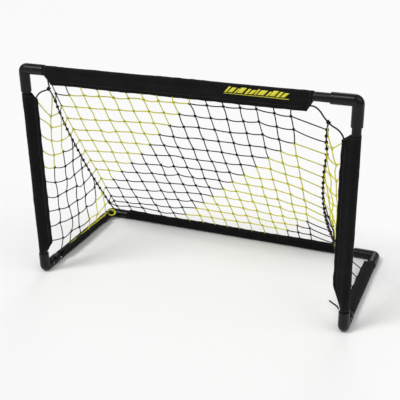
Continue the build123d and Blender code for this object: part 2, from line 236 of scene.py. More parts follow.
def sleeve_fabric():
    """Black woven polyester: plain weave, sheen, lint and slightly faded creases."""
    s = Shader(
        "woven_polyester", BLACK, 0.78, Sheen_Weight=0.05, Sheen_Roughness=0.35, Specular_IOR_Level=0.12
    )
    along, across = s.uv()
    pitch = 0.0011
    warp = s.wave(along, pitch)
    weft = s.wave(across, pitch, math.pi / 2)
    weave = s.math("MULTIPLY", warp, weft)
    slubs = s.noise(240, 5, roughness=0.6)
    fade = s.ramp(s.noise(20, 5, roughness=0.6), 0.42, 0.75)
    lint = s.ramp(s.noise(1600, 2), 0.76, 0.84)
    tone = s.mix(fade, (0.002, 0.002, 0.0025), (0.006, 0.006, 0.007))
    tone = s.mix(s.math("MULTIPLY", s.ramp(weave, -1, 1), 0.35), tone, (0.009, 0.009, 0.01))
    s.into("Base Color", s.mix(s.math("MULTIPLY", lint, 0.3), tone, (0.07, 0.07, 0.07)))
    s.into("Roughness", s.ramp(slubs, 0.3, 0.7, 0.7, 0.86))
    cloth = s.bump(weave, 0.00018, 0.8)
    s.into("Normal", s.bump(slubs, 0.0007, 0.45, cloth))
    return s.material


def net_cord(name, dark, light, worn):
    """Twisted polyethylene cord: a fine lay round the cord, fibres and colour that varies along it."""
    s = Shader(name, dark, 0.55, Specular_IOR_Level=0.3)
    along, around = s.uv()
    lay = s.math("ADD", s.math("MULTIPLY", along, 1 / 0.0045), s.math("MULTIPLY", around, 2.0))
    ridges = s.wave(lay, 1.0)
    fibres = s.noise(2400, 3)
    tone = s.mix(s.ramp(s.noise(60, 3), 0.3, 0.7), dark, light)
    s.into("Base Color", s.mix(s.math("MULTIPLY", s.ramp(fibres, 0.55, 0.7), 0.4), tone, worn))
    s.into("Roughness", s.ramp(fibres, 0.3, 0.7, 0.45, 0.65))
    s.into("Normal", s.bump(ridges, 0.0005, 1.0, s.bump(fibres, 0.0002, 0.5)))
    return s.material


def border_rope():
    """Black braided border rope with loose fibres and greyed high spots."""
    s = Shader("border_rope", BLACK, 0.7, Sheen_Weight=0.06, Specular_IOR_Level=0.2)
    along, around = s.uv()
    lay = s.math("ADD", s.math("MULTIPLY", along, 1 / 0.003), s.math("MULTIPLY", around, 3.0))
    fibres = s.noise(1800, 4, roughness=0.65)
    tone = s.mix(s.ramp(fibres, 0.5, 0.75), (0.006, 0.006, 0.006), (0.03, 0.03, 0.03))
    s.into("Base Color", tone)
    s.into("Normal", s.bump(s.wave(lay, 1.0), 0.0002, 0.7, s.bump(fibres, 0.0003, 0.5)))
    return s.material


def print_ink():
    """Yellow print on cloth, thinner where the weave stands proud."""
    s = Shader("yellow_print", (0.62, 0.6, 0.03), 0.5)
    crackle = s.ramp(s.noise(700, 5, roughness=0.7), 0.6, 0.72)
    s.into("Base Color", s.mix(s.math("MULTIPLY", crackle, 0.5), (0.66, 0.62, 0.03), (0.2, 0.19, 0.03)))
    s.into("Normal", s.bump(s.noise(900, 2), 0.0002, 0.6))
    return s.material


def thread():
    s = Shader("sewing_thread", (0.02, 0.02, 0.022), 0.6, Sheen_Weight=0.2)
    s.into("Base Color", s.mix(s.noise(900, 3), (0.015, 0.015, 0.017), (0.05, 0.05, 0.055)))
    return s.material


# ---------------------------------------------------------------- mesh helpers

def mesh_piece(name, points, faces, materials, paint=None, uv=None):
    """A mesh object from arrays; paint is a material number for each face and uv a pair for each corner."""
    mesh = bpy.data.meshes.new(name)
    mesh.from_pydata([tuple(p) for p in points], [], faces)
    for item in materials:
        mesh.materials.append(item)
    if paint is not None:
        mesh.polygons.foreach_set("material_index", np.asarray(paint, np.int32))
    if uv is not None:
        layer = mesh.uv_layers.new(name="UVMap")
        layer.data.foreach_set("uv", np.asarray(uv, np.float32).ravel())
    mesh.polygons.foreach_set("use_smooth", np.full(len(mesh.polygons), True))
    mesh.validate()
    mesh.update()
    piece = bpy.data.objects.new(name, mesh)
    bpy.context.scene.collection.objects.link(piece)
    return piece


def unit(v):
    return v / np.maximum(np.linalg.norm(v, axis=-1, keepdims=True), 1e-12)


def carried_frames(path):
    """Two directions square to a path at each point, carried along it without twisting."""
    ahead = unit(np.gradient(path, axis=0))
    first = np.cross(ahead[0], (0.0, 0.0, 1.0))
    if np.linalg.norm(first) < 0.1:
        first = np.cross(ahead[0], (0.0, 1.0, 0.0))
    side = np.empty_like(path)
    side[0] = unit(first)
    for k in range(1, len(path)):
        carried = side[k - 1] - ahead[k] * (side[k - 1] @ ahead[k])
        side[k] = carried / np.linalg.norm(carried)
    return side, np.cross(ahead, side)


class Cords:
    """Round cords collected into one mesh, with metres along and the turn round them as the UV map."""

    def __init__(self, sides=6):
        self.sides = sides
        self.points, self.faces, self.paint, self.uv = [], [], [], []
        self.count = 0

    def add(self, path, radius, paint=0):
        """A cord along a path; paint is one material number, or one for each span of the path."""
        path = np.asarray(path, float)
        side, up = carried_frames(path)
        turn = 2 * np.pi * np.arange(self.sides) / self.sides
        radius = np.broadcast_to(np.asarray(radius, float), len(path))[:, None, None]
        ring = np.cos(turn)[None, :, None] * side[:, None, :] + np.sin(turn)[None, :, None] * up[:, None, :]
        self.points.append((path[:, None, :] + radius * ring).reshape(-1, 3))
        paints = np.broadcast_to(np.asarray(paint), len(path) - 1)
        length = np.concatenate([[0], np.cumsum(np.linalg.norm(np.diff(path, axis=0), axis=1))])
        n, at = self.sides, self.count
        for k in range(len(path) - 1):
            for m in range(n):
                after = (m + 1) % n
                a, b = at + k * n, at + (k + 1) * n
                self.faces.append((a + m, a + after, b + after, b + m))
                low, high = m / n, (m + 1) / n
                self.uv += [(length[k], low), (length[k], high), (length[k + 1], high), (length[k + 1], low)]
                self.paint.append(paints[k])
        for start, paint_here, order in ((at, paints[0], -1), (at + (len(path) - 1) * n, paints[-1], 1)):
            self.faces.append(tuple(range(start, start + n))[::order])
            self.uv += [(0.0, m / n) for m in range(n)]
            self.paint.append(paint_here)
        self.count += len(path) * n

    def piece(self, name, materials):
        return mesh_piece(name, np.concatenate(self.points), self.faces, materials, self.paint, self.uv)


def nurbs_line(points, steps=12):
    """Points along the smooth curve that has the given points as its controls."""
    curve = bpy.data.curves.new("line", "CURVE")
    curve.dimensions = "3D"
    curve.resolution_u = steps
    spline = curve.splines.new("NURBS")
    spline.points.add(len(points) - 1)
    for control, point in zip(spline.points, points):
        control.co = (*point, 1)
    spline.order_u = 3
    spline.use_endpoint_u = True
    holder = bpy.data.objects.new("line", curve)
    bpy.context.scene.collection.objects.link(holder)
    mesh = bpy.data.meshes.new_from_object(holder)
    line = np.array([v.co for v in mesh.vertices])
    bpy.data.objects.remove(holder)
    bpy.data.curves.remove(curve)
    bpy.data.meshes.remove(mesh)
    return line


def evenly(line, step):
    """A path walked in even steps."""
    length = np.concatenate([[0], np.cumsum(np.linalg.norm(np.diff(line, axis=0), axis=1))])
    count = max(2, round(length[-1] / step) + 1)
    at = np.linspace(0, length[-1], count)
    return np.stack([np.interp(at, length, line[:, k]) for k in range(3)], axis=1)


def add_strands(cords, line, radius, pitch=0.013, step=0.0014):
    """Three strands laid round a line, as thick together as a rope of the given radius."""
    path = evenly(line, step)
    side, up = carried_frames(path)
    length = np.arange(len(path)) * step
    for strand in range(3):
        turn = 2 * np.pi * (length / pitch + strand / 3)
        offset = np.cos(turn)[:, None] * side + np.sin(turn)[:, None] * up
        cords.add(path + offset * radius * 0.5, radius * 0.5)


def coil(middle, axis, cord_r, core_r, turns=1.6, steps=12):
    """A short coil of cord round an axis."""
    axis = unit(np.asarray(axis, float))
    across = unit(np.cross(axis, (0.31, 0.87, 0.38)))
    up = np.cross(axis, across)
    t = np.linspace(-0.5, 0.5, steps)
    turn = 2 * np.pi * turns * t
    rise = t * 2 * cord_r * turns
    ring = np.cos(turn)[:, None] * across + np.sin(turn)[:, None] * up
    return np.asarray(middle, float) + ring * (core_r + cord_r * 0.7) + rise[:, None] * axis


# ---------------------------------------------------------------- ropes


def fold_blend(piece):
    """A piece of the net or its ropes, with its placement baked into its points."""
    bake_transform(piece)


ROUTES = {
    "left_corner_rope": [
        Vector((76 * MM - X_POST, Y_FRONT + 1 * MM, Z_TOP - 22 * MM)),
        on_net(60, 0.036),
        on_net(50, 0.074),
        on_net(44, 0.11),
        Vector((34 * MM - X_POST, Y_FRONT + 1 * MM, Z_TOP - 62 * MM)),
        Vector((26 * MM - X_POST, Y_FRONT, Z_TOP - 82 * MM)),
    ],
    "right_corner_rope": [
        Vector((X_POST - 115 * MM, Y_FRONT + 1 * MM, Z_TOP - 24 * MM)),
        on_net(773, 0.04),
        on_net(793, 0.134),
        Vector((X_POST - 32 * MM, Y_FRONT + 2 * MM, Z_TOP - 77 * MM)),
        Vector((X_POST - 26 * MM, Y_FRONT, Z_TOP - 97 * MM)),
    ],
    "left_ridge_rope": [
        on_net(42, 0.123),
        on_net(40, 0.176),
        on_net(31, 0.24),
        on_net(20, 0.37),
        on_net(14, 0.53),
        on_net(9, 0.7),
        on_net(13, 0.92),
        on_net(17, 0.972),
    ],
    "right_ridge_rope": [
        on_net(791, 0.149),
        on_net(781, 0.238),
        on_net(780, 0.307),
        on_net(765, 0.4),
        on_net(748, 0.564),
        on_net(742, 0.7),
        on_net(744, 0.82),
        on_net(753, 0.93),
        on_net(764, 0.964),
    ],
    "rope_end": [
        Vector((X_POST - 15 * MM, Y_FRONT, Z_BASE + 49 * MM)),
        Vector((X_POST - 17 * MM, Y_FRONT - 1 * MM, Z_BASE + 57 * MM)),
        Vector((X_POST - 27 * MM, Y_FRONT - 2 * MM, Z_BASE + 62 * MM)),
        Vector((X_POST - 39 * MM, Y_FRONT - 1 * MM, Z_BASE + 69 * MM)),
    ],
}


def add_ropes(rope_material):
    """The twisted border ropes, and the loose end at the foot of the right post. Each ridge starts from a
    knot in its corner's rope. Returns the two ridges' lines."""
    lines = {name: nurbs_line(route) for name, route in ROUTES.items() if "ridge" not in name}
    knots = {}
    for side in ("left", "right"):
        corner = lines[f"{side}_corner_rope"]
        route = ROUTES[f"{side}_ridge_rope"]
        knots[side] = int(np.argmin(np.linalg.norm(corner - np.array(route[0]), axis=1)))
        lines[f"{side}_ridge_rope"] = nurbs_line([corner[knots[side]], *route])
    for name, line in lines.items():
        cords = Cords(7)
        add_strands(cords, line, ROPE_R)
        side = name.split("_")[0]
        if name.endswith("corner_rope"):
            at = knots[side]
            along = line[at + 1] - line[at - 1]
            cords.add(coil(line[at], along, ROPE_R * 0.8, ROPE_R, 2.4, 34), ROPE_R * 0.8)
            across = np.cross(along, (0.2, 1, 0.1))
            cords.add(coil(line[at], across, ROPE_R * 0.6, ROPE_R * 1.5, 0.9, 16), ROPE_R * 0.6)
        piece = cords.piece(f"{name}_twisted", [rope_material])
        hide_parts(name)
        if name.endswith("ridge_rope"):
            fold_blend(piece)
        else:
            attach(piece, "front_frame")
    return lines["left_ridge_rope"], lines["right_ridge_rope"]


# ---------------------------------------------------------------- net

CORD_R = 1.5 * MM
GATHER_R = 1.17 * MM
COLUMNS = 16
ROWS = 13
BAND = 8                                   # meshes in a band of one colour
SPAN_STEPS = 5                             # pieces of cord between two knots

# In millimetres: how far down the slope from its last knot a row meets each ridge, which on the right is 1 less
# for each row; the side nets' first row above the base and their row pitch; and how far behind the posts their
# columns hang
LEFT_HITCH, RIGHT_HITCH = 44, 52
LEFT_ROWS, RIGHT_ROWS = (500, 45.5), (484, 44)
SIDE_ROWS = 10
SIDE_COLUMNS = (60, 116, 171, 226, 279, 330)
LAST_HITCH = 0.915                         # no row meets the left ridge below this share of the slope
RIDGE_GAP = 22 * MM                        # from a side row's last knot to the ridge, at least
FLAP_GAP = 9 * MM                          # how far above the side tube's flap a side net's knots stay

# Where the back net's columns end, in millimetres down the slope: in the crossbar's flap, in the rear
# bar's flap, and, for the first column, on the rear corner
TOP_END = (CROSSBAR_REACH - HEM) / MM * SLOPE / HEIGHT
FLAP_END = (SLOPE - REACH + HEM) / MM
CORNER_END = (SLOPE - FITTING_R - CORD_R) / MM
FLAP_SPAN = (81.0, 753.0)                  # the crossbar's flap, in millimetres from the left post

# How the net hangs, by column: first row and row pitch in millimetres down the slope, where the rows
# start to bunch up, where the column starts from the left, and how far it leans down to the rear bar
FIRST_ROW = ((0, 84), (3, 72), (6, 63), (10, 59), (13, 56), (15, 69))
ROW_PITCH = ((0, 51.5), (6, 47.6), (10, 47.7), (13, 50), (15, 53.3))
BUNCH_FROM = ((0, 600), (6, 610), (12, 560), (15, 460))
COLUMN_TOP = ((0, 88), (3, 215), (4, 252), (8, 424), (12, 596), (15, 727))
COLUMN_LEAN = ((0, -52), (2, -38), (4, -6), (6, -1), (8, -6), (12, -16), (15, -42))


def by_column(table, i):
    return float(np.interp(i, [a for a, _ in table], [b for _, b in table]))


def back_down(i, j):
    """How far down the slope the knot of column i and row j is, in millimetres."""
    last = FLAP_END if i else CORNER_END
    if j == 0:
        return TOP_END
    even = by_column(FIRST_ROW, i) + by_column(ROW_PITCH, i) * (j - 1)
    end = by_column(FIRST_ROW, i) + by_column(ROW_PITCH, i) * ROWS
    start = by_column(BUNCH_FROM, i)
    if even > start and end > last:
        even = start + (even - start) * (last - start) / (end - start)
    return last if j > ROWS else min(even, last)


def back_knots():
    """The back net's knots as [row][column], from the crossbar's flap to the rear bar's."""
    knots = np.empty((ROWS + 2, COLUMNS, 3))
    for j in range(ROWS + 2):
        for i in range(COLUMNS):
            down = back_down(i, j)
            share = down / (SLOPE / MM)
            from_left = by_column(COLUMN_TOP, i) + by_column(COLUMN_LEAN, i) * share ** 0.6
            if j == 0:
                from_left = min(max(from_left, FLAP_SPAN[0]), FLAP_SPAN[1])
            sag = 9 * MM * math.sin(math.pi * share) * math.sin(math.pi * (i + 1.5) / (COLUMNS + 2))
            loose = RNG.normal(0, 1.1 * MM, 3) if 0 < j <= ROWS else np.zeros(3)
            spot = on_net(from_left, share)
            spot.y = Y_FRONT + (spot.y - Y_FRONT) * (down - TOP_END) / (FLAP_END - TOP_END) * FLAP_END / down
            knots[j, i] = np.array(spot - NET_OUT * sag) + loose
    return knots


def share_down(points):
    """How far down the slope points are, as a share of it."""
    return (points - np.array((0, Y_FRONT, Z_TOP))) @ np.array(NET_DOWN) / SLOPE


def on_line(line, share):
    """The point of a ridge rope that is a share of the way down the slope."""
    down = share_down(line)
    share = min(max(share, down.min()), down.max())
    return np.array([np.interp(share, down, line[:, k]) for k in range(3)])


def hanging(knots, sag, bow):
    """A cord through knots, with each span sagging under its weight and bowed a little to one side."""
    t = np.linspace(0, 1, SPAN_STEPS + 1)[:-1, None]
    arch = 4 * t * (1 - t)
    spans = []
    for a, b in zip(knots, knots[1:]):
        drop = np.array((0, 0, -abs(RNG.normal(sag, sag / 2))))
        aside = RNG.normal(0, bow, 3)
        spans.append(a + (b - a) * t + arch * (drop + aside))
    return np.concatenate([*spans, [knots[-1]]])


class Net:
    """Knotted net made line by line, black and yellow by the band that each mesh is in."""

    def __init__(self, band_of):
        self.cords = Cords(6)
        self.band_of = band_of

    def line(self, knots, places, sag, bow):
        """A cord through knots; places are the (column, row) that each span starts from."""
        paint = np.repeat([self.band_of(*place) for place in places[:-1]], SPAN_STEPS)
        self.cords.add(hanging(knots, sag, bow), CORD_R, paint)

    def knot(self, point, axis, place):
        twist = unit(np.asarray(axis, float) + RNG.normal(0, 0.12, 3))
        loops = coil(point, twist, CORD_R * 0.95, CORD_R, 1.6, 11)
        self.cords.add(loops, CORD_R * 0.95, self.band_of(*place))

    def lashing(self, point, axis, turns):
        """Black cord wound round a ridge rope."""
        self.cords.add(coil(point, axis, CORD_R, ROPE_R * 0.95, turns, 26), CORD_R, 0)


def back_net(ridges, materials):
    """The sloping back net, lashed to the two ridge ropes. Returns where, as a list for each ridge."""
    net = Net(lambda i, j: int((i + j - 2) // BAND) % 2 == 0)
    knots = back_knots()
    ends = ([], [])
    for j in range(1, ROWS + 1):
        left = on_line(ridges[0], min((back_down(0, j) + LEFT_HITCH) * MM / SLOPE, LAST_HITCH))
        right = on_line(ridges[1], (back_down(COLUMNS - 1, j) + RIGHT_HITCH - j) * MM / SLOPE)
        ends[0].append(left)
        ends[1].append(right)
        places = [(i, j) for i in range(-1, COLUMNS + 1)]
        net.line([left, *knots[j], right], places, 1.2 * MM, 0.7 * MM)
        for i in range(COLUMNS):
            net.knot(knots[j, i], NET_DOWN, (i, j))
    for i in range(COLUMNS):
        net.line(knots[:, i], [(i, j) for j in range(ROWS + 2)], 0.4 * MM, 0.8 * MM)
    for ridge, spots in zip(ridges, ends):
        for spot, after in zip(spots, [*spots[1:], spots[-1]]):
            net.lashing(spot, ridge[-1] - ridge[0], 2.4)
            if np.linalg.norm(after - spot) > 20 * MM:
                halfway = on_line(ridge, share_down((spot + after) / 2))
                net.lashing(halfway, ridge[-1] - ridge[0], 1.3)
    piece = net.cords.piece("net_back_knotted", materials)
    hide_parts("net_back_panel")
    fold_blend(piece)
    return ends


def side_rows(rows, count):
    """The heights of a side net's rows at the post, in millimetres above the base."""
    first, pitch = rows
    return [first - pitch * r for r in range(count)]


def side_net(side, ridge, ridge_knots, heights, sag, bow, band_of, materials):
    """A side net between the post's flap, the side tube's flap and the ridge rope."""
    net = Net(band_of)
    sign = -1 if side == "left" else 1
    foot_x = sign * (X_POST - (SIDE_REACH - HEM) * math.cos(SIDE_LIFT))
    foot_z = Z_BASE + (SIDE_REACH - HEM) * math.sin(SIDE_LIFT)
    bare, taper = POST_FOOT_TAPERS[side]
    flap_from = POST_SLEEVE_FOOT + bare
    grid = {}
    rows = []
    for r, height in enumerate(heights):
        reach = np.interp(height, (flap_from, flap_from + taper), (FITTING_R, REACH - HEM))
        start = np.array((sign * (X_POST - reach), Y_FRONT, Z_BASE + height * MM))
        end = ridge_knots[r]
        row, places = [start], [(-1, r)]
        for c, back in enumerate(SIDE_COLUMNS):
            t = (back * MM + Y_FRONT - start[1]) / (end[1] - start[1])
            if t > 1 - RIDGE_GAP / (end[1] - start[1]):
                break
            arch = 4 * t * (1 - t)
            point = start + (end - start) * t - np.array((0, 0, sag * arch))
            point[0] += sign * bow * arch * (1 - height / 600)
            point += RNG.normal(0, (2.0 * MM, 3.0 * MM, 3.0 * MM))
            point[2] = max(point[2], foot_z + FLAP_GAP)
            grid[c, r] = point
            row.append(point)
            places.append((c, r))
        rows.append((row + [end], places + [(len(row) - 1, r)]))
    for row, places in rows:
        net.line(row, places, 2.2 * MM, 1.8 * MM)
    for c, back in enumerate(SIDE_COLUMNS):
        places = [(c, r) for r in range(len(heights)) if (c, r) in grid]
        if not places:
            continue
        column = [grid[place] for place in places]
        top = on_line(ridge, (column[0][1] - Y_FRONT) / DEPTH)
        foot = np.array((foot_x, Y_FRONT + back * MM, foot_z))
        net.line([top, *column, foot], [(c, places[0][1] - 1), *places, places[-1]], 0.6 * MM, 2.4 * MM)
        for point, place in zip(column, places):
            net.knot(point, (0, 0.2, 1), place)
    piece = net.cords.piece(f"net_{side}_knotted", materials)
    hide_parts(f"net_{side}_panel")
    fold_blend(piece)


# The gathered cords, in millimetres: how far in and up from the side tube they lie, how far in front of the
# rear bar they stop, and the middle and the least radius of their loop, from the left rear corner
GATHERED = 8
GATHER_IN, GATHER_UP = 6.5, 16
GATHER_STOP = 66
LOOP_IN, LOOP_FORWARD, LOOP_R = 12, 24, 9


def above_corner(x, y):
    """The height of the top of the left rear corner under a point, with room for a cord on it."""
    off = min(abs(x + X_POST), abs(y - Y_REAR))
    return Z_BASE + math.sqrt(max(FITTING_R**2 - off**2, (5 * MM) ** 2)) + GATHER_R


def gathered_edge(materials):
    """The slack edge of the left side net: cords bunched on top of the side sleeve, beside its flap, and a
    loop that is thrown over the rear corner."""
    cords = Cords(6)
    stop = Y_REAR - GATHER_STOP * MM
    for strand in range(GATHERED):
        start = -0.1 + 0.022 * strand
        y = start + (stop - start) * np.linspace(0, 1, 46)
        swing = np.array([noise.noise_vector(Vector((v * 30, strand * 5.1, 2.0))) for v in y])
        inward = (GATHER_IN + 0.6 * strand) * MM + swing[:, 0] * 2.2 * MM
        up = (GATHER_UP + 0.25 * strand) * MM + swing[:, 2] * 1.2 * MM
        up = np.clip(up, 14.4 * MM + 0.21 * inward, 13.4 * MM + 0.5 * inward)
        line = np.stack([inward - X_POST, y, Z_BASE + up], axis=1)
        loop = []
        size = (LOOP_R + 1.5 * (strand % 3)) * MM
        middle = np.array((-X_POST + LOOP_IN * MM, Y_REAR - LOOP_FORWARD * MM)) + RNG.normal(0, 1.2 * MM, 2)
        for turn in np.linspace(-2.2, 3.6, 26):
            x = middle[0] + size * math.cos(turn)
            y_here = middle[1] + 1.3 * size * math.sin(turn)
            loop.append((x, y_here, above_corner(x, y_here)))
        join = [line[-1] * (1 - u) + np.array(loop[0]) * u for u in np.linspace(0, 1, 8)[1:-1]]
        path = np.array([*line, *join, *loop])
        for _ in range(2):
            path[1:-1] = (path[:-2] + path[1:-1] * 2 + path[2:]) / 4
        cords.add(path, GATHER_R, 1 if strand % 3 else 0)
    piece = cords.piece("net_left_gathering", materials)
    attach(piece, "base_frame")


def add_net(ridges, materials):
    left, right = back_net(ridges, materials)
    side_net("left", ridges[0], left[1:], side_rows(LEFT_ROWS, SIDE_ROWS), 17 * MM, 0,
             lambda c, r: not 4 <= c + r < 12, materials)
    side_net("right", ridges[1], right[1:], side_rows(RIGHT_ROWS, SIDE_ROWS), 14 * MM, 22 * MM,
             lambda c, r: c + r < 8, materials)
    gathered_edge(materials)


# ---------------------------------------------------------------- sleeves

CLOTH_T = 0.7 * MM
SLEEVE_R = 12.2 * MM
SEAM_IN = 8 * MM                           # from a flap's edge to its seam
LAYER = 1.15 * MM
SCALLOP_REACH = 20 * MM                    # how far from a pull the flap's edge has drawn back
WANDER = 2.2 * MM                          # how far a flap's edge wanders sideways
THREAD_R = 0.28 * MM
SEAM_PITCH, SEAM_STITCH = 4.2 * MM, 3.1 * MM
HEM_PITCH, HEM_STITCH = 3.8 * MM, 2.7 * MM
SEAM_STOP = 15 * MM                        # from a sleeve's end to its seam's first stitch
HEM_IN = 5 * MM                            # from a sleeve's end to its hem's stitches
LOWEST = 0.6 * MM                          # the cloth's clearance over the ground


def sleeve_ring(reach):
    """One turn of a sleeve: distance towards the flap, distance to the side, both in metres, from the middle
    of the tube, starting and ending at the flap's edge."""
    edge = [(reach + 0.5 * MM, 0.0), (reach, LAYER * 0.8)]
    seam = np.array((reach - SEAM_IN, LAYER))
    flat = [(x, LAYER) for x in np.linspace(reach - 1.5 * MM, seam[0], 6)]
    turn = math.atan2(seam[1], seam[0]) + math.acos(SLEEVE_R / math.hypot(*seam))
    touch = np.array((math.cos(turn), math.sin(turn))) * SLEEVE_R
    slope = [tuple(seam + (touch - seam) * t + np.array((0, -0.5 * MM * math.sin(math.pi * t))))
             for t in np.linspace(0, 1, 8)[1:-1]]
    arc = [(SLEEVE_R * math.cos(a), SLEEVE_R * math.sin(a)) for a in np.linspace(turn, math.pi, 12)]
    half = np.array([*edge, *flat, *slope, *arc])
    mirrored = half[1:-1][::-1] * (1, -1)
    return np.concatenate([half, mirrored])


def sleeve_cut(towards, reach, bare, taper):
    """How far in from its end the cloth is cut, at a distance towards the flap."""
    neck = np.clip((towards - 3 * MM) / (SLEEVE_R - 3 * MM), 0, 1) ** 2
    flap = np.clip((towards - SLEEVE_R) / (reach - SLEEVE_R), 0, 1)
    return neck * bare + flap * taper


class Sleeve:
    """A cloth sleeve sewn round a tube, with its flap towards one side."""

    def __init__(self, node, start, end, flap, reach, tapers, pulls, scallop, seed):
        self.node, self.seed = node, seed
        start, end = np.array(start, float), np.array(end, float)
        self.start, self.length = start, float(np.linalg.norm(end - start))
        self.run = (end - start) / self.length
        self.flap = np.array(flap, float)
        self.side = np.cross(self.run, self.flap)
        ring = sleeve_ring(reach)
        self.around = np.concatenate([[0], np.cumsum(np.linalg.norm(np.diff(ring, axis=0), axis=1))])
        self.width = float(self.around[-1] + self.around[1])
        stations = max(24, round(self.length / (5 * MM)))
        self.share = np.linspace(0, 1, stations)
        towards, aside = ring[:, 0], ring[:, 1]
        cut_in, cut_out = (sleeve_cut(towards, reach, *[v * MM for v in taper]) for taper in tapers)
        s = cut_in[None, :] + self.share[:, None] * (self.length - cut_in - cut_out)[None, :]
        d = np.broadcast_to(towards, s.shape).copy()
        e = np.broadcast_to(aside, s.shape).copy()
        out = np.clip((d - SLEEVE_R) / (reach - SLEEVE_R), 0, 1)
        pulled = np.min([np.abs(s - pull) for pull in pulls], axis=0) if len(pulls) else 0 * s
        d -= out**3 * np.minimum(pulled / SCALLOP_REACH, 1) * scallop
        e += out**1.5 * self.wander(s, 7.0) * WANDER
        swell = self.wrinkles(s, self.around)
        normal = self.normals(d, e)
        self.s = s
        self.outer = self.to_world(s, d + normal[..., 0] * swell, e + normal[..., 1] * swell)
        self.outer[..., 2] = np.maximum(self.outer[..., 2], LOWEST)
        thin = swell - CLOTH_T
        self.inner = self.to_world(s, d + normal[..., 0] * thin, e + normal[..., 1] * thin)
        self.inner[..., 2] = np.maximum(self.inner[..., 2], LOWEST + CLOTH_T)

    def wander(self, s, rate):
        flat = [noise.noise(Vector((v * rate, self.seed, 0.3))) for v in s.ravel()]
        return np.array(flat).reshape(s.shape)

    def wrinkles(self, s, around):
        """How far the cloth stands off its plain shape: slack rolls, and creases across it on a slant."""
        high = np.empty(s.shape)
        for place in np.ndindex(s.shape):
            along, over = s[place], around[place[1]]
            lean = along + 0.45 * over
            roll = noise.noise(Vector((along * 16, over * 11, self.seed)))
            crease = 1 - abs(noise.noise(Vector((lean * 46, over * 9, self.seed + 5)))) * 2.4
            fine = noise.noise(Vector((lean * 150, over * 60, self.seed + 9)))
            creased = max(crease, 0) ** 2 * max(roll + 0.25, 0)
            high[place] = 0.9 * max(roll, -0.2) + 0.9 * creased + 0.15 * fine
        return np.maximum(high, -0.12) * MM

    @staticmethod
    def normals(d, e):
        """Outward directions in a ring's own plane."""
        ahead_d, ahead_e = np.roll(d, -1, 1) - np.roll(d, 1, 1), np.roll(e, -1, 1) - np.roll(e, 1, 1)
        normal = np.stack([ahead_e, -ahead_d], axis=-1)
        return unit(normal)

    def to_world(self, s, d, e):
        return (self.start + s[..., None] * self.run + d[..., None] * self.flap + e[..., None] * self.side)

    def piece(self, cloth):
        """The cloth as a closed mesh with its real thickness."""
        stations, n = self.s.shape
        half = stations * n
        points = np.concatenate([self.outer.reshape(-1, 3), self.inner.reshape(-1, 3)])
        faces, uv = [], []
        for k in range(stations - 1):
            for m in range(n):
                after = (m + 1) % n
                a, b, c, d = k * n + m, k * n + after, (k + 1) * n + after, (k + 1) * n + m
                over = self.around[m], self.around[m] + (self.around[1] if after == 0 else
                                                         self.around[after] - self.around[m])
                corners = [(self.s[k, m], over[0]), (self.s[k, after], over[1]),
                           (self.s[k + 1, after], over[1]), (self.s[k + 1, m], over[0])]
                faces.append((a, b, c, d))
                uv += corners
                faces.append((d + half, c + half, b + half, a + half))
                uv += corners[::-1]
        for k, flip in ((0, False), (stations - 1, True)):
            for m in range(n):
                after = (m + 1) % n
                a, b = k * n + m, k * n + after
                face = (a, a + half, b + half, b)
                faces.append(face[::-1] if flip else face)
                uv += [(self.s[k, m], self.around[m])] * 4
        return mesh_piece(f"{self.node}_cloth", points, faces, [cloth], uv=uv)

    def at(self, share, turn):
        """A point of the outer face and its normal, at a share of the length and of the way round."""
        stations, n = self.s.shape
        k = min(share * (stations - 1), stations - 1.001)
        ring = np.searchsorted(self.around, turn * self.around[-1]) - 1
        ring = min(max(ring, 0), n - 2)
        v = (turn * self.around[-1] - self.around[ring]) / (self.around[ring + 1] - self.around[ring])
        k0 = int(k)
        u = k - k0
        p = self.outer
        a, b, c, d = p[k0, ring], p[k0 + 1, ring], p[k0 + 1, ring + 1], p[k0, ring + 1]
        point = a * (1 - u) * (1 - v) + b * u * (1 - v) + c * u * v + d * (1 - u) * v
        normal = unit(np.cross(d - a + c - b, b - a + c - d))
        return point, normal

    def stitches(self, thread_material, body):
        """A row of sewing on each face of the flap, and one round each hem."""
        cords = Cords(4)

        def stitch(start, end):
            """One stitch between two places, each a share of the length and of the way round."""
            a, normal = self.at(*start)
            b, _ = self.at(*end)
            lift = normal * 0.12 * MM
            path = [a - lift, a * 0.7 + b * 0.3 + lift * 2, a * 0.3 + b * 0.7 + lift * 2, b - lift]
            cords.add(path, THREAD_R)

        total = self.around[-1]
        seam_turn = (SEAM_IN + 1.8 * MM) / total
        for turn in (seam_turn, 1 - seam_turn):
            for k in range(int((self.length - 2 * SEAM_STOP) / SEAM_PITCH)):
                share = (SEAM_STOP + k * SEAM_PITCH) / self.length
                stitch((share, turn), (share + SEAM_STITCH / self.length, turn))
        for share in (HEM_IN / self.length, 1 - HEM_IN / self.length):
            for turn in np.arange(0.06, 0.94, HEM_PITCH / total):
                stitch((share, turn), (share, turn + HEM_STITCH / total))
        piece = cords.piece(f"{self.node}_stitching", [thread_material])
        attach(piece, body)
        return piece


def sleeve_ends(node, axis):
    low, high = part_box(node)
    return low[axis], high[axis]


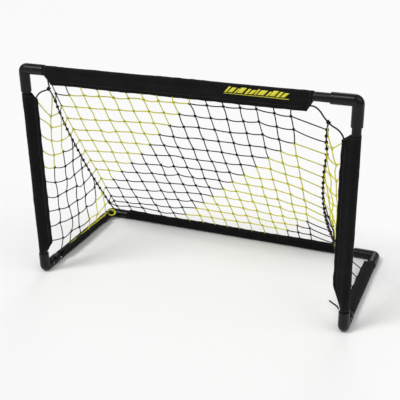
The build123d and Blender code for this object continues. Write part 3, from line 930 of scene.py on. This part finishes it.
def add_sleeves(cloth, thread_material, ink):
    """The six sleeves, each built as the strip of cloth that it is cut from, with its stitching, and the print on
    the crossbar's sleeve.
    """
    plain = (0, 14)
    columns = [by_column(COLUMN_TOP, i) * MM - X_POST for i in range(COLUMNS)]
    feet = [x + by_column(COLUMN_LEAN, i) * MM for i, x in enumerate(columns)]
    sleeves = []
    for node, body, y, z, flap, reach, places, scallop, tubes in (
        (
            "crossbar_sleeve", "front_frame", Y_FRONT, Z_TOP, (0, 0, -1), CROSSBAR_REACH, columns, 0.8 * MM,
            "crossbar",
        ),
        ("rear_sleeve", "base_frame", Y_REAR, Z_BASE, -NET_DOWN, REACH, feet, 2.4 * MM, "rear_bar"),
    ):
        low, high = sleeve_ends(node, 0)
        pulls = [x - low for x in places]
        sleeve = Sleeve(node, (low, y, z), (high, y, z), flap, reach, (plain, plain), pulls, scallop,
                        len(sleeves) * 3.7)
        sleeves.append((sleeve, body, [f"{tubes}_left_tube", f"{tubes}_right_tube"]))
    for side, sign in (("left", -1), ("right", 1)):
        x = sign * X_POST
        lifted = (-sign * math.cos(SIDE_LIFT), 0, math.sin(SIDE_LIFT))
        low, high = sleeve_ends(f"{side}_post_sleeve", 2)
        pulls = [Z_BASE + height * MM - low for height in side_rows(LEFT_ROWS, SIDE_ROWS + 1)]
        tapers = (POST_FOOT_TAPERS[side], plain)
        sleeve = Sleeve(f"{side}_post_sleeve", (x, Y_FRONT, low), (x, Y_FRONT, high), (-sign, 0, 0), REACH,
                        tapers, pulls, 1.2 * MM, len(sleeves) * 3.7)
        sleeves.append((sleeve, "front_frame", [f"{side}_post_tube"]))
        low, high = sleeve_ends(f"{side}_side_sleeve", 1)
        pulls = [Y_FRONT + (60 + 55 * c) * MM - low for c in range(6)]
        sleeve = Sleeve(f"{side}_side_sleeve", (x, low, Z_BASE), (x, high, Z_BASE), lifted, SIDE_REACH,
                        (plain, plain), pulls, 1.5 * MM, len(sleeves) * 3.7)
        sleeves.append((sleeve, "base_frame", [f"{side}_side_tube"]))
    for sleeve, body, tubes in sleeves:
        piece = sleeve.piece(cloth)
        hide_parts(sleeve.node)
        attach(piece, body)
        pieces = [sleeve.stitches(thread_material, body)]
        if sleeve.node == "crossbar_sleeve":
            pieces.append(printed_bars(sleeve, ink, body))


# The print: its span from the left post, its bars' lean and relative widths and gaps, and
# where they start and end as shares of the way round the sleeve, with how unevenly
PRINT_FROM, PRINT_TO = 566 * MM, 712 * MM
PRINT_LEAN = 12 * MM
BAR_WIDTHS = (5, 10, 4, 12, 6, 9, 4, 14, 5, 11, 7, 9)
BAR_GAPS = (3, 3, 3, 4, 3, 3, 3, 4, 3, 3, 3, 0)
BAR_FOOT, FOOT_STEP = 0.268, 0.011
BAR_TOP, TOP_STEP = 0.397, 0.013
LINE_FOOT, LINE_TOP = (0.237, 0.231), 0.249


def printed_bars(sleeve, ink, body):
    """Slanted bars over a tapering line, printed on the front of the crossbar's sleeve."""
    points, faces = [], []

    def patch(left, right, low, high, lean, columns=3, rows=8):
        """A printed patch across the sleeve; low is its lower edge at its left and at its right."""
        at = len(points)
        for row in range(rows + 1):
            v = row / rows
            for column in range(columns + 1):
                u = column / columns
                along = left + (right - left) * u + lean * (v - 0.5)
                over = low[0] + (low[1] - low[0]) * u
                over += (high - over) * v
                point, normal = sleeve.at((along - sleeve.start[0]) / sleeve.length, 1 - over)
                points.append(point + normal * 0.2 * MM)
        for row in range(rows):
            for column in range(columns):
                a = at + row * (columns + 1) + column
                faces.append((a, a + 1, a + columns + 2, a + columns + 1))

    start, stop = PRINT_FROM - X_POST, PRINT_TO - X_POST
    scale = (stop - start) / (sum(BAR_WIDTHS) + sum(BAR_GAPS))
    x = start
    for k, (width, gap) in enumerate(zip(BAR_WIDTHS, BAR_GAPS)):
        foot = BAR_FOOT + FOOT_STEP * (k % 2)
        patch(x, x + width * scale, (foot, foot), BAR_TOP - TOP_STEP * (k % 3), PRINT_LEAN)
        x += (width + gap) * scale
    patch(start - 8 * MM, stop + 4 * MM, LINE_FOOT, LINE_TOP, 1 * MM, 40, 2)
    piece = mesh_piece("crossbar_printed_bars", points, faces, [ink])
    solid = piece.modifiers.new("ink", "SOLIDIFY")
    solid.thickness = 0.15 * MM
    solid.offset = 0
    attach(piece, body)
    return piece


# ---------------------------------------------------------------- frame parts

def paint_frame():
    """Better finishes on the CAD parts that stay."""
    finishes = {
        "tube_paint": tube_paint(),
        "corner_plastic": corner_plastic(),
        "coupler_plastic": insert_plastic(),
        "button_steel": steel("blackened_steel", (0.05, 0.05, 0.055), 0.34),
        "fastener_steel": steel("zinc_plate", (0.4, 0.4, 0.42), 0.3),
    }
    for part in frame["record"]["subparts"]:
        node = frame["nodes"][part["node"]]
        finish = finishes.get(part["material_slot"])
        if finish:
            for place in node.material_slots:
                place.material = finish


def flex_springs():
    """A copy of each button's spring in place of the CAD spring, with its placement baked into its points."""
    slots = {part["node"]: part["material_slot"] for part in frame["record"]["subparts"]}
    for joint in frame["joints"]:
        node = f"{joint['child']}_spring"
        if node not in slots:
            continue
        source = frame["nodes"][node]
        piece = bpy.data.objects.new(f"{node}_flexing", source.data.copy())
        piece.matrix_world = source.matrix_world.copy()
        bpy.context.scene.collection.objects.link(piece)
        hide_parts(node)
        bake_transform(piece)


# ---------------------------------------------------------------- stage

def add_stage():
    """A pale floor, and soft light from above and both sides."""
    floor_shader = Shader("floor", (0.88, 0.88, 0.88), 0.8, Specular_IOR_Level=0.1)
    size = 14
    floor = mesh_piece("floor", [(-size, -size, 0), (size, -size, 0), (size, size, 0), (-size, size, 0)],
                       [(0, 1, 2, 3)], [floor_shader.material])
    world = bpy.data.worlds.new("studio")
    world.use_nodes = True
    world.node_tree.nodes["Background"].inputs[0].default_value = (1, 1, 1, 1)
    world.node_tree.nodes["Background"].inputs[1].default_value = 0.34
    bpy.context.scene.world = world
    for name, place, spread, power in (
        ("key", (-1.3, -1.7, 2.6), 24, 1.9),
        ("fill", (2.2, -0.6, 2.4), 50, 0.9),
        ("rim", (-0.5, 2.4, 1.8), 30, 0.45),
    ):
        data = bpy.data.lights.new(name, "SUN")
        data.angle = math.radians(spread)
        data.energy = power
        light = bpy.data.objects.new(name, data)
        light.rotation_euler = (-Vector(place)).to_track_quat("-Z", "Y").to_euler()
        bpy.context.scene.collection.objects.link(light)
    bpy.context.scene.view_settings.view_transform = "Standard"


# ---------------------------------------------------------------- the scene

add_camera()
rope_material = border_rope()
ridge_lines = add_ropes(rope_material)
net_materials = [
    net_cord("net_cord_black", (0.004, 0.004, 0.004), (0.01, 0.01, 0.011), (0.03, 0.03, 0.03)),
    net_cord("net_cord_yellow", (0.74, 0.7, 0.012), (0.88, 0.84, 0.03), (0.9, 0.88, 0.16)),
]
add_net(ridge_lines, net_materials)
add_sleeves(sleeve_fabric(), thread(), print_ink())
paint_frame()
flex_springs()
add_stage()
